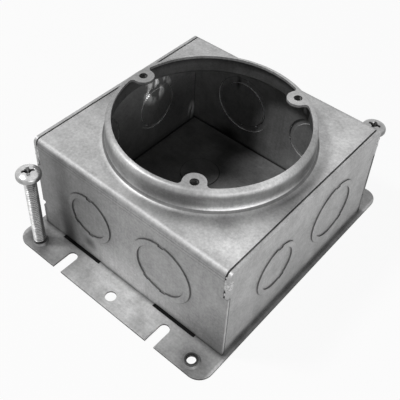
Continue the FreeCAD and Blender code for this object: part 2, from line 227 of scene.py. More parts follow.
# %% Start a finish
class Finish:
    """A material, its shader, and where on the box a point is, in millimetres."""

    def __init__(self, name):
        self.material = bpy.data.materials.new(name)
        self.material.use_nodes = True
        tree = self.material.node_tree
        self.shader = tree.nodes["Principled BSDF"]
        place = Value.source(tree, "TexCoord", "Object")
        self.place = place.node("VectorMath", {"operation": "MULTIPLY_ADD"},
                                {0: place, 1: (1 / MM,) * 3, 2: (-BOX_MIDDLE, 0, 0)})
        self.x, self.y, self.z = self.place.parts()
        self.facing = Value.source(tree, "NewGeometry", "True Normal").parts()

    def noise(self, size, detail=2.0, stretch=(1, 1, 1), roughness=0.5):
        """Soft random patches of about this size in millimetres, from about 0.3 to 0.7."""
        placed = self.place.node("VectorMath", {"operation": "MULTIPLY"},
                                 {0: self.place, 1: [1 / (size * part) for part in stretch]})
        return placed.node("TexNoise", {}, {"Vector": placed, "Scale": 1.0, "Detail": detail,
                                            "Roughness": roughness}, "Fac")

    def spot(self, centre, reach):
        """1 at a centre, fading to 0 at its reach along each axis."""
        across, along, up = ((part - middle) / size
                             for part, middle, size in zip((self.x, self.y, self.z), centre, reach))
        return across.distance(along).distance(up).fade(0.0, 1.0)

    def spots(self, rows):
        """Several spots added up, each given by its centre, its reach and its strength."""
        return sum(self.spot(centre, reach) * strength for centre, reach, strength in rows)

    def round_the_collar(self, direction, reach):
        """1 towards a direction, fading to 0 at a reach to both sides, in degrees counted from the right."""
        towards = math.radians(direction)
        side = (self.x * math.cos(towards) + self.y * math.sin(towards)) / self.x.distance(self.y).most(1.0)
        return side.ramp(math.cos(math.radians(reach)), 1.0)

    def paint(self, tone, roughness, metallic):
        """Give the shader its grey, its roughness and how much of a metal it is."""
        grey = tone.node("CombineColor", {}, {0: tone, 1: tone, 2: tone})
        for name, given in (("Base Color", grey), ("Roughness", roughness), ("Metallic", metallic)):
            if isinstance(given, Value):
                self.material.node_tree.links.new(given.socket, self.shader.inputs[name])
            else:
                self.shader.inputs[name].default_value = given

    def raise_by(self, height):
        """Let the light see a height, in millimetres, without moving the surface."""
        bump = height.node("Bump", {}, {"Height": height * MM, "Distance": 1.0, "Strength": 1.0})
        self.material.node_tree.links.new(bump.socket, self.shader.inputs["Normal"])

    def tell(self):
        print(self.material.name, "has", len(self.material.node_tree.nodes), "nodes")


print("a finish reads its place in mm from the middle of the box")

# %% [markdown]
# Galvanised sheet
#
# Zinc on rolled steel is a soft grey metal. Close to it there are three things: a fine grain, cloudy
# patches of a few millimetres, and faint lines from rolling. Each is a noise at its own size, and each
# changes the grey, the gloss and the level of the surface a little. The zinc has dulled in the air: it
# is only about half a metal, and the clear shine that the shader adds to the other half is turned off.

# %% The common ground of the sheets
CLOUD_SIZE, GRAIN_SIZE, DENT_SIZE = 8.0, 1.3, 22.0
ZINC_METAL, SHEARED_METAL, BRIGHT_METAL = 0.55, 0.20, 0.7


def galvanised(name, stretch):
    """A finish of zinc, a factor for its grey, and its gloss and level. Rolling lines run along the stretch."""
    finish = Finish(name)
    finish.shader.inputs["Specular IOR Level"].default_value = 0.0
    clouds = finish.noise(CLOUD_SIZE, 4.0)
    grain = finish.noise(GRAIN_SIZE, 3.0, roughness=0.75)
    lines = finish.noise(GRAIN_SIZE, 3.0, stretch)
    mottle = 1 + (clouds - 0.5) * 0.6 + (grain - 0.5) * 0.75 + (lines - 0.5) * 0.3
    rough = 0.46 + (clouds - 0.5) * 0.14 + (lines - 0.5) * 0.12
    height = finish.noise(DENT_SIZE, 1.0) * 0.10 + clouds * 0.02 + grain * 0.004
    return finish, mottle, rough, height


def metal_of(inside, sheared):
    """How much of a metal a sheet is: less on the sheared sides outside, more on those inside."""
    outside = ZINC_METAL + sheared * (SHEARED_METAL - ZINC_METAL)
    return outside * (1 - inside) + sheared * inside * BRIGHT_METAL


print("zinc has clouds of", CLOUD_SIZE, "mm and a grain of", GRAIN_SIZE, "mm")

# %% [markdown]
# Inside and outside
#
# Light hardly reaches the inside of the box, so the inside is painted a darker grey, as painted shade. The
# inner band of the collar is painted dark as well, darkest at its upper edge, as painted shade. Both are found
# by place: what lies within the inner faces of the walls, and what lies within the collar's bore or on its
# rounded foot.


# %% Find the inside and the bore
def inside_of(finish):
    """1 on what faces the inside of the box."""
    within = abs(finish.x).most(abs(finish.y)).fade(BOX_HALF - 0.6, BOX_HALF - 0.5)
    return within * finish.z.fade(UNDER_TOP + 0.05, UNDER_TOP + 0.15)


def collar_bore(finish, inside):
    """1 on the inner band of the collar."""
    radius = finish.x.distance(finish.y)
    bore = radius.fade(COLLAR_INSIDE + 3.0, COLLAR_INSIDE + 3.1)
    bore = bore * finish.z.fade(UNDER_RIM + 0.02, UNDER_RIM + 0.1)
    wall_side = radius.fade(COLLAR_INSIDE + 0.05, COLLAR_INSIDE + 0.15)
    low_side = finish.z.fade(UNDER_TOP + 2.9, UNDER_TOP + 3.0)
    return bore * wall_side.most(low_side) * (1 - inside)


print("the inside lies under", UNDER_TOP, "mm, the bore above it up to", round(UNDER_RIM, 1), "mm")

# %% [markdown]
# The walls of the tapped holes
#
# The wall of a tapped hole is painted nearly black, as painted shade. The wall is found by its distance from
# the middle of the hole, with a hair's width added, so that the shade ends on the edge and doesn't spill over
# the flat face round it.


# %% Find the walls of the tapped holes
def hole_walls(finish, centres, radius):
    """1 on the walls of upright holes with these centres, counted from the middle of the box."""
    return highest((finish.x - across).distance(finish.y - along).fade(radius + 0.02, radius + 0.06)
                   for across, along in centres)


ear_holes = [(EAR_CIRCLE * math.cos(math.radians(angle)), EAR_CIRCLE * math.sin(math.radians(angle)))
             for angle in EARS.values()]
boss_holes = [(side * BOSS_ACROSS - BOX_MIDDLE, end * BOSS_ALONG) for side in (-1, 1) for end in (-1, 1)]
print(len(ear_holes), "holes in the ears and", len(boss_holes), "in the plate")

# %% [markdown]
# The cuts of a knockout
#
# A knockout is sheared through almost all of the sheet, and the ring round its slug is pressed outwards a
# little. The steps are in the model. Their sheared sides are dark outside, and inside they are painted bright,
# as a painted highlight. A thin crack follows each circle, darkened on one side only as painted shade: the
# outer crack is dark on the side where the inner one is not. All is found by the distance from the knockout's
# middle. The far wall is the near one turned half round, so one sum serves them both.

# %% Find the cuts of the knockouts
KNOCKOUT_HEIGHT = 30.4
FOLD_RINGS = [(-24.2, 14.4, 11.3), (22.2, 17.75, 14.2)]
END_RINGS = [(-23.0, 14.4, 11.3), (23.5, 17.75, 14.2)]
FRONT, RIGHT = -1, 1
STEEP = 100.0


def half_turned(along, side, near):
    """The place along a wall, as on the near wall of the pair, which is in FRONT or at the RIGHT.

    A steep slope that is kept between -1 and 1 turns the distance to a side into its sign.
    """
    return along * (side * (near * STEEP)).least(1.0).most(-1.0)


def knockout_cuts(finish, along_wall, off_wall, rings, lean):
    """How dark the cracks of a wall's two knockouts are, and where their sheared sides are.

    off_wall is 1 on faces that don't look straight out of the wall or into the box. Each ring is its place
    along the wall and its outer and inner radius. lean is the side, 1 or -1, on which the outer crack gets its
    painted shade. The inner one has it opposite.
    """
    cracks, sides = [], []
    up = finish.z - KNOCKOUT_HEIGHT
    for place, outer, inner in rings:
        beside = along_wall - place
        radius = beside.distance(up)
        towards = (beside * lean + up) / radius.most(1.0)
        # painted shade: each crack is darkened on one side only
        for circle, on_shaded_side in ((outer, towards.ramp(-0.6, 0.3)), (inner, towards.fade(-0.3, 0.6))):
            cracks.append(abs(radius - circle).fade(0.1, 0.5, 0.55) * on_shaded_side)
        sides.append(radius.fade(outer + 0.1, outer + 0.2) * off_wall)
    sheared = highest(sides)
    return highest(cracks) * (1 - sheared), sheared


print("two knockouts in a wall, at", KNOCKOUT_HEIGHT, "mm")

# %% [markdown]
# The folded shell
#
# The top is painted lighter than the front wall, as painted light and shade on one zinc, and the fold between
# them is painted a little darker, as painted shade, and made a little rougher. The flat, the wall and the fold
# are told apart by height and by the distance from the outer face of the wall.

# %% Start the folded shell
TOP_LIT_GREY, WALL_SHADED_GREY, INSIDE_SHADED_GREY, BORE_SHADE_GREY, SHEARED_GREY = 0.55, 0.34, 0.28, 0.15, 0.13
INSIDE_EDGE_HIGHLIGHT = 1.2
FOLD_SHADE_AND_DULLING = 0.12

finish, mottle, rough, height = galvanised("galvanised_sheet", (1, 1, 14))
inside = inside_of(finish)
bore = collar_bore(finish, inside)
on_wall = abs(finish.y).ramp(BOX_HALF - 0.6, BOX_HALF - 0.5) * finish.z.fade(BOX_TOP - 2.5, BOX_TOP - 0.3)
folded = abs(finish.y).ramp(BOX_HALF - 3.2, BOX_HALF - 2.2) * finish.z.ramp(BOX_TOP - 3.0, BOX_TOP - 2.0)
# painted light and shade: the top is painted lighter than the walls, and the fold darker
grey = (on_wall * (WALL_SHADED_GREY - TOP_LIT_GREY) + TOP_LIT_GREY) * (1 - folded * FOLD_SHADE_AND_DULLING)
finish.tell()

# %% [markdown]
# The drawn collar
#
# The collar carries painted light and shade: the upright flank is painted darker all round, as painted shade,
# and painted shade and painted highlights lie towards some directions. Each mark is given as a direction from
# the middle of the box and a reach to both sides, in degrees. One broad painted shadow, at the front right,
# lies on the flat beside the collar's foot and not on the collar.

# %% Shade the collar
FLANK_SHADE = 0.46
radius = finish.x.distance(finish.y)
drawn_part = radius.fade(COLLAR_OUTSIDE + 3.0, COLLAR_OUTSIDE + 11.0) * (1 - on_wall)
drawn_up = finish.z.ramp(BOX_TOP + 0.3, BOX_TOP + 2)
flank = finish.z.ramp(BOX_TOP + 0.8, BOX_TOP + 5.5) * finish.z.fade(RIM_TOP - 4.5, RIM_TOP - 0.6)
foot_band = finish.z.fade(BOX_TOP + 2, BOX_TOP + 4.5)
below_rim = finish.z.fade(RIM_TOP - 6.0, RIM_TOP - 3.0)

# painted shade and painted highlights round the collar, and a painted shadow on the flat at its foot
collar_side_shade = finish.round_the_collar(195, 60) * 0.35 + finish.round_the_collar(12, 26) * 0.25
collar_painted_shade = finish.round_the_collar(340, 60) * (0.4 - drawn_up * 0.4) + finish.round_the_collar(288, 24) * 0.3
collar_painted_shade = (collar_painted_shade + collar_side_shade * drawn_up) * drawn_part
painted_light_and_shade = finish.round_the_collar(317, 20) * 0.55 * below_rim + finish.round_the_collar(345, 20) * 0.3
painted_light_and_shade = painted_light_and_shade + foot_band * (finish.round_the_collar(325, 34) * 0.75 - 0.25)
grey = grey * (1 - flank * FLANK_SHADE) * (1 - collar_painted_shade) * (1 + painted_light_and_shade * drawn_up * drawn_part)
finish.tell()

# %% [markdown]
# Patches on the top
#
# The flat corners of the top are painted unevenly, as painted light and shade: some places lighter, and some
# darker, mostly beside the collar and at the left edge. Each patch is a soft spot with a centre, a reach along
# each axis and a strength, which is below zero where it darkens.

# %% Patch the top
TOP_LIGHT_AND_SHADE = [((54, -45, 60), (30, 24, 4), 0.35), ((52, 30, 60), (26, 34, 4), 0.25),
               ((-57, 5, 60), (14, 40, 4), -0.6), ((57, -14, 60), (14, 26, 4), -0.4),
               ((41, -40, 60), (13, 13, 4), -0.4), ((47, -48, 60), (11, 9, 4), 0.35)]
# painted light and shade on the top
grey = grey * (1 + finish.spots(TOP_LIGHT_AND_SHADE) * (1 - drawn_up))
print(len(TOP_LIGHT_AND_SHADE), "patches on the top")

# %% [markdown]
# The shell's inside
#
# The bore and the inside get their own greys. On the inner face of the back wall, which the camera sees through
# the collar, there is painted shade and one painted lighter place, and painted shade lies along the wall's
# foot.

# %% Darken the inside of the shell
BACK_WALL_LIGHT_AND_SHADE = [((-31, 58, 2), (14, 5, 11), 0.75), ((-27, 58, 44), (2.5, 4, 7), 0.6),
                  ((-22, 58, 26), (40, 6, 40), 0.4), ((22, 58, 8), (20, 6, 16), -0.5)]
DEEPEST_PAINTED_SHADE = 0.9
# painted shade: the bore is painted dark, darkest at its upper edge
bore_shade_grey = BORE_SHADE_GREY * finish.z.ramp(UNDER_RIM - 5.0, UNDER_RIM, 1.25, 0.45)
grey = grey + bore * (bore_shade_grey - grey)
# painted shade: the inside is painted a darker grey than the outside
grey = grey + inside * (INSIDE_SHADED_GREY - grey)
inner_foot_shade = finish.z.fade(1.0, 2.2, 0.7)
# painted shade on the back wall and along its foot, with one painted lighter place
grey = grey * (1 - inside * (finish.spots(BACK_WALL_LIGHT_AND_SHADE) + inner_foot_shade).least(DEEPEST_PAINTED_SHADE))
finish.tell()

# %% [markdown]
# The shell's knockouts
#
# The sheared sides of the rings are bare metal, so they have a grey of their own. They are picked out
# by the way they face: neither out of the wall nor into the box.

# %% Cut the shell's knockouts
off_wall = abs(finish.facing[1]).fade(0.3, 0.6) * abs(finish.y).ramp(BOX_HALF - 3.0, BOX_HALF - 2.5)
along_wall = half_turned(finish.x, finish.y, FRONT)
cuts, sheared = knockout_cuts(finish, along_wall, off_wall, FOLD_RINGS, 1)
# painted highlight: inside the box the sheared sides are painted brighter than white
grey = grey + sheared * (SHEARED_GREY + inside * INSIDE_EDGE_HIGHLIGHT - grey)
finish.tell()

# %% [markdown]
# The front wall's marks and painted light
#
# The front wall has a darker band, stronger towards the foot, a smudge by the small knockout and a darker right
# corner, and its middle is painted lighter, as painted light. The folding bar pressed two faint lines below the
# fold, and painted shade runs along the foot.

# %% Wear the front wall
DARK_BAND_AT = -41
BAR_LINES = [(56.4, 0.3), (54.5, 0.2)]
FRONT_MARKS = [((56, -59.5, 2), (26, 5, 24), 0.35), ((-25, -59.5, 11), (7, 4, 6), 0.6)]
FRONT_PAINTED_LIGHT = [((-17, -59.5, 10), (14, 8, 14), 0.3), ((2, -59.5, 0), (42, 8, 30), 0.6)]
front = finish.y.fade(-59.0, -58.5)
dark_band = abs(finish.x - DARK_BAND_AT).fade(1.0, 7.0) * finish.z.ramp(8.0, 40.0, 0.42, 0.1)
# painted light: the middle of the front wall is painted lighter
painted_light = finish.spots(FRONT_PAINTED_LIGHT) + finish.x.ramp(-26.0, 2.0, -0.25, 0.08)
marks_and_painted_light = 1 - (dark_band + finish.spots(FRONT_MARKS) - painted_light * on_wall) * front

pressed = highest(abs(finish.z - line).fade(0.1, 0.4, depth) for line, depth in BAR_LINES)
# painted shade along the foot, stronger towards the right
front_foot_shade = finish.z.fade(1.4, 2.0, 0.85) * finish.x.ramp(20.0, 50.0, 0.4, 1.0)
foot_shade = finish.z.fade(1.2, 3.5, 0.45).most(front_foot_shade)
marks_and_painted_light = marks_and_painted_light * (1 - pressed * on_wall * (1 - inside)) * (1 - foot_shade)
finish.tell()

# %% [markdown]
# Holes, cracks and the cut edge
#
# What is left are the dark places: painted shade in the tapped holes of the ears and in the cracks of the
# knockouts, and the sheet's cut edge at the back right corner, which is bare steel below the welded joint.

# %% Paint the folded shell
EAR_HOLE_RADIUS = 2.1
cut_edge = abs(finish.facing[0]).ramp(0.6, 0.8) * finish.y.ramp(WALL_INSIDE - 0.1, WALL_INSIDE)
cut_edge = cut_edge * finish.x.ramp(50.0, 52.0) * finish.z.fade(JOINT_HEIGHT - 0.2, JOINT_HEIGHT + 0.4)
# painted shade in the ear holes
marks_and_painted_light = marks_and_painted_light * (1 - hole_walls(finish, ear_holes, EAR_HOLE_RADIUS) * 0.9)
marks_and_painted_light = marks_and_painted_light * (1 - cuts * on_wall.most(inside) * 0.7) * (1 - cut_edge * 0.75)
finish.paint(grey * mottle * marks_and_painted_light, rough + folded * FOLD_SHADE_AND_DULLING, metal_of(inside, sheared))
finish.raise_by(height)
shell_finish = finish.material
finish.tell()

# %% [markdown]
# The end plates
#
# The end plates are flat and more even, with faint lines from rolling, and are painted a little darker towards
# the foot, as painted shade. Their knockouts are cut as the folded walls' are, with the painted shade on the
# other side of the cracks.

# %% Start the end plates
END_LIT_GREY, END_SHEARED_GREY = 0.45, 0.24
finish, mottle, rough, height = galvanised("galvanised_end_plate", (1, 5, 5))
inside = inside_of(finish)
# painted light and shade: darker towards the foot, lighter near the top
grey = (inside * (INSIDE_SHADED_GREY - END_LIT_GREY) + END_LIT_GREY) * finish.z.ramp(0.0, 58.0, 0.85, 1.1)
off_wall = abs(finish.facing[0]).fade(0.3, 0.6)
along_wall = half_turned(finish.y, finish.x, RIGHT)
cuts, sheared = knockout_cuts(finish, along_wall, off_wall, END_RINGS, -1)
# painted highlight on the sheared sides inside
grey = grey + sheared * (END_SHEARED_GREY + inside * INSIDE_EDGE_HIGHLIGHT - grey)
finish.tell()

# %% [markdown]
# The lit inner wall
#
# Through the collar the camera looks at the inner face of the left end plate. A painted highlight lies there in
# a mottled patch round the small knockout and in two smaller spots, one of them in the far corner, and a broad
# painted shade darkens the middle of the wall, its foot and its corners. The patch is a strong spot times a
# stretched noise, so that it breaks up as the metal does.

# %% Light the left plate's inside
PAINTED_CAUGHT_LIGHT = [((-58, 23, 45), (6, 13, 14), 11.0), ((-58, 35, 46), (6, 4, 8), 3.0),
                ((-58, 55, 8), (6, 4, 9), 5.0)]
highlight_breakup = finish.noise(5.0, 3.0, (1, 1, 2.5)).ramp(0.42, 0.62)
# painted highlight, less a broad painted shade
painted_light_and_shade = finish.spots(PAINTED_CAUGHT_LIGHT) * highlight_breakup - finish.spot((-58, 40, 25), (6, 30, 30)) * 0.5
inner_foot_shade = finish.z.fade(1.0, 2.2, 0.7)
# painted shade in the inner corners and along the foot
inner_corner_shade = (WALL_INSIDE - abs(finish.y)).fade(0.2, 1.2, 0.5)
grey = grey * (1 + inside * (painted_light_and_shade - inner_foot_shade.most(inner_corner_shade)))
finish.tell()

# %% [markdown]
# The end plates' seams
#
# Outside, the corner seam is a dark line down from the joint to the plate's foot, and the lowest few
# millimetres lie in the shade of the flange. With those two the plates are done, and both share this
# one finish, because each is the other turned half round.

# %% Paint the end plates
seam = abs(finish.y).ramp(WALL_INSIDE - 0.9, WALL_INSIDE - 0.4, 0.0, 0.5)
seam = seam * finish.z.fade(JOINT_HEIGHT - 0.2, JOINT_HEIGHT + 0.1) * (1 - inside)
foot_shade = finish.z.fade(1.5, 6.0, 0.4)
finish.paint(grey * mottle * (1 - cuts * 0.5) * (1 - foot_shade) * (1 - seam), rough, metal_of(inside, sheared))
finish.raise_by(height)
end_finish = finish.material
finish.tell()

# %% [markdown]
# The base plate
#
# The plate is the same zinc, a little more stained. Its cut edges are bare steel and look nearly black. The
# flanges are painted darker beside the wall and round the corner holes, as painted shade, and are rubbed bright
# in the middle, and the plate's margin beyond the end plates is painted lighter, as painted light.

# %% Start the base plate
PLATE_GREY, EDGE_GREY = 0.40, 0.07
SHADED_CORNERS = [((-54, -69, 0.9), (15, 12, 4), -0.7), ((52, -70, 0.9), (12, 10, 4), -0.45)]
finish, mottle, rough, height = galvanised("galvanised_plate", (14, 1, 1))
inside = inside_of(finish)
edge = abs(finish.facing[2]).fade(0.1, 0.5)
grey = inside * (INSIDE_SHADED_GREY - PLATE_GREY) + PLATE_GREY
grey = grey + edge * (EDGE_GREY - grey)
along_flange = half_turned(finish.x, finish.y, FRONT)
rubbed = along_flange.ramp(-34.0, -18.0) * along_flange.fade(20.0, 44.0)
rubbed = rubbed * abs(finish.y).ramp(BOX_HALF - 1, BOX_HALF) * 0.55
# painted light on the margin, painted shade beside the wall and round the corner holes
lit_margin = abs(finish.x).ramp(BOX_HALF + 0.8, BOX_HALF + 1.8, 0.0, 0.5)
shade_beside_wall = (abs(finish.y) - BOX_HALF).fade(0.0, 2.5, 0.45) * (1 - inside)
grey = grey * (1 + lit_margin) * (1 + rubbed + finish.spots(SHADED_CORNERS)) * (1 - shade_beside_wall)
finish.tell()

# %% [markdown]
# The floor of the box
#
# Inside the box the plate is painted as dark as the walls. Painted shade lies towards the far corner and along
# the walls' feet, and a fine line shows the knockout in the floor.

# %% Dirty the box's floor
FLOOR_SLUG, FLOOR_SLUG_RADIUS = (-23.6, 23.1), 11.2
FLOOR_SHADE = [((-31, 52, 1), (15, 9, 4), 0.5), ((-8, 42, 1), (26, 26, 4), 0.5)]
# painted shade along the walls' feet and towards the far corner
end_foot_shade = abs(finish.x).ramp(WALL_INSIDE - 1.2, WALL_INSIDE, 0.0, 0.8)
fold_foot_shade = abs(finish.y).ramp(WALL_INSIDE - 0.8, WALL_INSIDE, 0.0, 0.8)
from_slug = (finish.x - FLOOR_SLUG[0]).distance(finish.y - FLOOR_SLUG[1])
slug_line = abs(from_slug - FLOOR_SLUG_RADIUS).fade(0.1, 0.5, 0.4)
shade_and_slug_line = finish.spots(FLOOR_SHADE) + end_foot_shade.most(fold_foot_shade) + slug_line
grey = grey * (1 - inside * shade_and_slug_line.least(DEEPEST_PAINTED_SHADE))
finish.tell()

# %% [markdown]
# Stains and raised holes of the plate
#
# Broad water stains lie over the whole plate. The raised tapped holes are painted black in their bores and dark
# on the ring of metal that the punch turned over round each of them, as painted shade.

# %% Paint the base plate
stains_and_hole_shade = finish.noise(14.0, 3.0).ramp(0.45, 0.7, 0.0, 0.25)
# painted shade in and round the raised tapped holes
stains_and_hole_shade = stains_and_hole_shade.most(hole_walls(finish, boss_holes, 2.6) * 0.92)
stains_and_hole_shade = stains_and_hole_shade.most(hole_walls(finish, boss_holes, 3.3) * 0.75)
finish.paint(grey * mottle * (1 - stains_and_hole_shade), rough, ZINC_METAL * (1 - inside))
finish.raise_by(height)
plate_finish = finish.material
finish.tell()

# %% [markdown]
# Zinc plated screws
#
# The screws are bright and smoother than the sheets, with only a light haze of fine scratches. Painted shade
# darkens the recess, the rim of the head and the half of the shank that is turned away from the key lamp, and
# the back screw is painted darker all over.

# %% Finish the screws
HEAD_TOP, DOME_CURVE = 3.75, 0.037
SHADE_DIRECTION = (0.77, 0.64)
finish = Finish("zinc_plated_steel")
haze = finish.noise(2.5, 3.0)
fine = finish.noise(0.4, 2.0)
painted_shade_places = []
for across, along in SCREW_PLACES:
    beside, behind = finish.x + BOX_MIDDLE - across, finish.y - along
    square = beside * beside + behind * behind
    depth = finish.z - UNDER_HEAD - HEAD_TOP + square * DOME_CURVE
    # painted shade in the recess, on the shaded side of the shank and on the rim of the head
    painted_shade_places.append(depth.fade(-0.4, 0.0, 0.85) * square.fade(14.5, 15.5) * finish.z.ramp(49.0, 49.2))
    shank_shade = (beside * SHADE_DIRECTION[0] + behind * SHADE_DIRECTION[1]).ramp(-1.4, -0.5, 0.0, 0.4)
    on_shank = square.fade(14.0, 20.0) * finish.z.fade(UNDER_HEAD - 0.3, UNDER_HEAD)
    painted_shade_places.append(shank_shade * on_shank)
    painted_shade_places.append(square.ramp(29.0, 36.0, 0.0, 0.38) * square.fade(50.0, 60.0))
tone = (0.58 + (haze - 0.5) * 0.5 + (fine - 0.5) * 0.3) * (1 - highest(painted_shade_places))
# painted shade: the back screw is painted darker
finish.paint(tone * finish.y.ramp(-10.0, 10.0, 1.0, 0.6), 0.24 + (haze - 0.5) * 0.2, 1.0)
finish.raise_by(haze * 0.01 + fine * 0.003)
screw_finish = finish.material
finish.tell()

# %% [markdown]
# Finishes on the model's own parts
#
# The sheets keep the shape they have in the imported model, so all they need is their finish. The
# packed screws are given theirs too, though threaded screws take their place further on.

# %% Give the parts their finishes
for name, material in (("folded_shell", shell_finish), ("left_end_wall", end_finish),
                       ("right_end_wall", end_finish), ("base_plate", plate_finish),
                       ("levelling_screws", screw_finish)):
    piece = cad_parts[name]
    piece.data.materials.clear()
    piece.data.materials.append(material)
    print(name, "has", material.name)

# %% [markdown]
# Drawing and turning a profile
#
# Screws are turned parts. By hand one would draw half of the outline point by point, pulling each point
# out of the last with extrude, and turn that line about the upright axis. The same tools do it here.
# An operator acts on all that is selected, so each helper first leaves only its own piece selected.


# %% Helpers for drawn lines and modifiers
def clear_selection():
    if bpy.context.mode != "OBJECT":
        bpy.ops.object.mode_set(mode="OBJECT")
    bpy.ops.object.select_all(action="DESELECT")


def select_only(piece):
    clear_selection()
    piece.select_set(True)
    bpy.context.view_layer.objects.active = piece


def draw_line(name, points):
    """A line of edges in the upright plane, through points given as (out, up) in millimetres."""
    clear_selection()
    bpy.ops.mesh.primitive_plane_add(size=MM)
    line = bpy.context.object
    line.name = name
    bpy.ops.object.mode_set(mode="EDIT")
    bpy.ops.mesh.merge(type="CENTER")
    places = [Vector((out, 0, up)) * MM for out, up in points]
    bpy.ops.transform.translate(value=places[0])
    for last, following in zip(places, places[1:]):
        bpy.ops.mesh.extrude_region_move(TRANSFORM_OT_translate={"value": following - last})
    bpy.ops.object.mode_set(mode="OBJECT")
    return line


def modify(piece, kind, **settings):
    """Put a modifier on a piece and apply it."""
    select_only(piece)
    modifier = piece.modifiers.new(kind.lower(), kind)
    for name, setting in settings.items():
        setattr(modifier, name, setting)
    bpy.ops.object.modifier_apply(modifier=modifier.name)


def join(pieces):
    clear_selection()
    for piece in pieces:
        piece.select_set(True)
    bpy.context.view_layer.objects.active = pieces[0]
    bpy.ops.object.join()
    return pieces[0]


def tidy_normals(piece):
    """Merge doubles, then point every face outwards."""
    select_only(piece)
    bpy.ops.object.mode_set(mode="EDIT")
    bpy.ops.mesh.select_all(action="SELECT")
    bpy.ops.mesh.remove_doubles(threshold=0.002 * MM)
    bpy.ops.mesh.normals_make_consistent(inside=False)
    bpy.ops.object.mode_set(mode="OBJECT")


def select_underside(piece):
    """While a piece is edited, select only its faces that look down."""
    bpy.ops.mesh.select_all(action="DESELECT")
    bpy.ops.object.mode_set(mode="OBJECT")
    for face in piece.data.polygons:
        face.select = face.normal.z < -0.9
    bpy.ops.object.mode_set(mode="EDIT")


print("a line is drawn point by point")

# %% [markdown]
# Threads
#
# A thread is one small tooth carried up a spiral. One pitch of the tooth is drawn as a line, and the
# Screw modifier repeats it, a turn for each pitch. Its two ends stick out as open slopes, so a thread
# is made two turns too long and cut level at both ends, and the cuts are closed with a face.


# %% Helpers for threads
def turns_for(length, pitch):
    return math.ceil(length / pitch) + 2


def cut_level(bottom, top):
    """Cut what is being edited level at two heights, in millimetres, and close both cuts."""
    for level, above in ((bottom, False), (top, True)):
        bpy.ops.mesh.select_all(action="SELECT")
        bpy.ops.mesh.bisect(plane_co=(0, 0, level * MM), plane_no=(0, 0, 1), use_fill=True,
                            clear_inner=not above, clear_outer=above, threshold=0.001 * MM)


print("a thread of 2 mm with a pitch of 1 mm is made with", turns_for(2, 1), "turns")

# %% [markdown]
# The threaded shank
#
# The screw is a quarter inch thick, with twenty turns to the inch. The line of one tooth starts and
# ends at the root of the thread, so that the turns meet, and doubles are merged where they do. The top
# of the shank goes on a little way inside the head.

# %% Thread the shank
THREAD_WIDTH, THREAD_ROOT, PITCH = 6.35, 5.0, 1.27
SCREW_LENGTH = UNDER_HEAD - SCREW_TIP
INTO_HEAD = 1.0
crest, root = THREAD_WIDTH / 2, THREAD_ROOT / 2
tooth = [(root, 0), (root, 0.3), (crest, 0.695), (crest, 0.875), (root, PITCH)]
shank = draw_line("shank", [(out, up - PITCH) for out, up in tooth])
turns = turns_for(SCREW_LENGTH + INTO_HEAD, PITCH)
modify(shank, "SCREW", screw_offset=PITCH * MM, iterations=turns, steps=24, render_steps=24,
       use_merge_vertices=True, merge_threshold=0.002 * MM)
bpy.ops.object.mode_set(mode="EDIT")
cut_level(0, SCREW_LENGTH + INTO_HEAD)
tidy_normals(shank)
print("shank", len(shank.data.polygons), "faces in", turns, "turns")

# %% [markdown]
# The tip
#
# A real screw has a bevel at its tip, so that it finds its hole and the thread has no sharp start. The
# easy way is a plain round blank with a bevelled end, a hair wider than the thread: what the shank and
# the blank have in common is the shank with its tip.

# %% Bevel the tip
TIP_BEVEL = 1.2
BLANK_LENGTH = SCREW_LENGTH + 2
clear_selection()
bpy.ops.mesh.primitive_cylinder_add(vertices=48, radius=(crest + 0.2) * MM, depth=BLANK_LENGTH * MM,
                                    location=(0, 0, BLANK_LENGTH / 2 * MM))
blank = bpy.context.object
bpy.ops.object.mode_set(mode="EDIT")
select_underside(blank)
bpy.ops.mesh.bevel(offset=TIP_BEVEL * MM, segments=1)
bpy.ops.object.mode_set(mode="OBJECT")
modify(shank, "BOOLEAN", operation="INTERSECT", solver="EXACT", object=blank)
bpy.data.objects.remove(blank)
print("shank with its tip", len(shank.data.polygons), "faces")

# %% [markdown]
# The head
#
# A pan head is a low dome over a short rounded side. Its profile is drawn from the middle of its
# underside round to the middle of its top, and spun round the axis, as a lathe would turn it.

# %% Spin the head
HEAD_PROFILE = [(0, 0), (5.75, 0), (6.1, 0.12), (6.25, 0.45), (6.25, 1.3), (6.12, 1.95), (5.75, 2.5),
                (5.1, 2.95), (4.1, 3.38), (2.9, 3.72), (1.5, 3.93), (0, 4.0)]
head = draw_line("head", HEAD_PROFILE)
bpy.ops.object.mode_set(mode="EDIT")
bpy.ops.mesh.select_all(action="SELECT")
bpy.ops.mesh.spin(steps=64, angle=math.tau, center=(0, 0, 0), axis=(0, 0, 1))
tidy_normals(head)
print("head", len(head.data.polygons), "faces")

# %% [markdown]
# The cross recess
#
# The recess is pressed by a punch with four tapered wings and a cone in the middle. Two blades, one
# across the other, and the cone are made as the punch is shaped and cut out of the head. The cut edges
# then get a tiny bevel, because it is this bevel that glints.

# %% Cut the cross recess
WING_LENGTH, WING_WIDTH = 7.6, 1.75
RECESS_MIDDLE, RECESS_DEPTH = 3.0, 3.2
SMOOTH_ANGLE = math.radians(32)


def blade(turned):
    """A tapered blade of the punch, its wide end up."""
    clear_selection()
    bpy.ops.mesh.primitive_cube_add(size=MM, location=(0, 0, RECESS_MIDDLE * MM))
    cutter = bpy.context.object
    bpy.ops.object.mode_set(mode="EDIT")
    bpy.ops.transform.resize(value=(WING_LENGTH, WING_WIDTH, RECESS_DEPTH))
    select_underside(cutter)
    bpy.ops.transform.resize(value=(0.5, 0.55, 1))
    bpy.ops.mesh.select_all(action="SELECT")
    bpy.ops.transform.rotate(value=math.radians(turned), orient_axis="Z", center_override=(0, 0, 0))
    bpy.ops.object.mode_set(mode="OBJECT")
    bpy.ops.object.transform_apply(location=True, rotation=True, scale=True)
    return cutter


